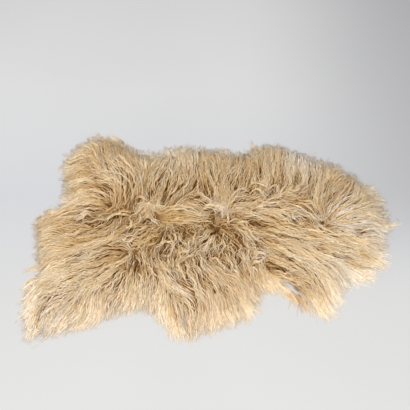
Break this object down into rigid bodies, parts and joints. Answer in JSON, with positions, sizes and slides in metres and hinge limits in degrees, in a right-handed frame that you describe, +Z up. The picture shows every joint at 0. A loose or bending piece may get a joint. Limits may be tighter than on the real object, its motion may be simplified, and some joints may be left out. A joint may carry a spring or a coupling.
{
  "type": "lambskin",
  "caption": "Natural beige lambskin laid flat: a thin tanned skin with a deep, lumpy, long wool fleece whose tapering locks reach past the skin's edge all round.",
  "frame": {"origin": "middle of the whole lambskin's box, on the surface that it lies on", "axes": "+X along the back from the rump to the neck, +Y to the far flank, +Z up out of the wool side"},
  "size_m": [0.974, 0.6626, 0.068],
  "materials": {
    "suede": "matt napped flesh side of a tanned skin",
    "wool": "undyed long wavy wool, golden beige, slightly glossy along the locks"
  },
  "bodies": {
    "root": {"hide": "suede", "fleece": "wool"}
  },
  "joints": []
}
